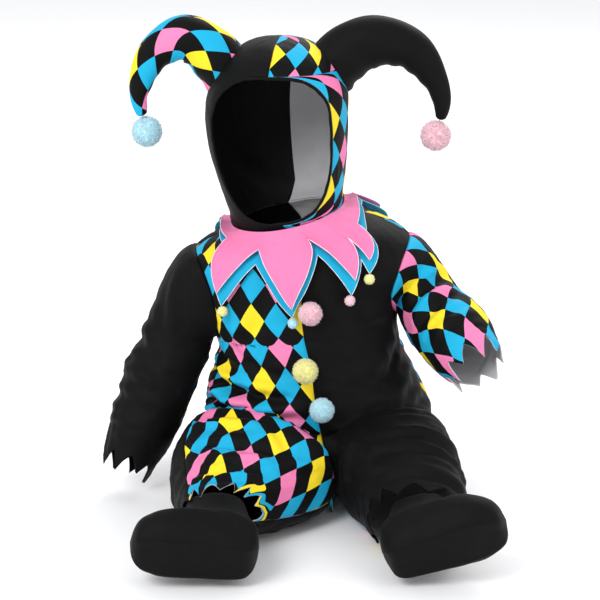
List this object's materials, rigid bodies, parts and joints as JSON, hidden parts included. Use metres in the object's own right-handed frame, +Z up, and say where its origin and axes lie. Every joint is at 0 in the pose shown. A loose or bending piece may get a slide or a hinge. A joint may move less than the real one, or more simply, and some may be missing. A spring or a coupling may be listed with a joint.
{
  "type": "jester costume",
  "caption": "Infant jester costume, worn and seated: suit in harlequin print and black halves, two-layer petal collar, hood with stuffed horns, pompoms and soft booties.",
  "frame": {"origin": "where the wearer holds the costume, in the middle of the body between the shoulders, 0.25 m above the surface that the seat rests on", "axes": "+Z up, the costume faces -Y, +X towards the wearer's left"},
  "size_m": [0.4183, 0.3841, 0.4929],
  "materials": {
    "print_knit": "smooth polyester knit, harlequin print of blue, pink and yellow diamonds on black",
    "black_knit": "smooth polyester knit, black, faint sheen",
    "black_tape": "woven black tape, matt",
    "pink_knit": "smooth polyester knit, pink",
    "blue_knit": "smooth polyester knit, blue",
    "pink_pile": "dense soft pile, pale pink",
    "yellow_pile": "dense soft pile, pale yellow",
    "blue_pile": "dense soft pile, pale blue"
  },
  "bodies": {
    "root": {"front_right_print": "print_knit", "back_left_print": "print_knit", "sleeve_left_print": "print_knit", "hood_left_print": "print_knit", "horn_right_print": "print_knit", "front_left_black": "black_knit", "back_right_black": "black_knit", "sleeve_right_black": "black_knit", "hood_right_black": "black_knit", "horn_left_black": "black_knit", "hood_binding": "black_knit", "bootie_right": "black_knit", "bootie_left": "black_knit", "back_fastening": "black_tape", "collar_pink": "pink_knit", "collar_blue": "blue_knit", "pompom_front_pink": "pink_pile", "pompom_front_yellow": "yellow_pile", "pompom_front_blue": "blue_pile", "pompom_horn_blue": "blue_pile", "pompom_horn_pink": "pink_pile", "pompom_petal_1_yellow": "yellow_pile", "pompom_petal_2_blue": "blue_pile", "pompom_petal_3_pink": "pink_pile", "pompom_petal_4_yellow": "yellow_pile", "pompom_petal_5_blue": "blue_pile", "pompom_petal_6_pink": "pink_pile", "pompom_petal_7_yellow": "yellow_pile"}
  },
  "joints": []
}
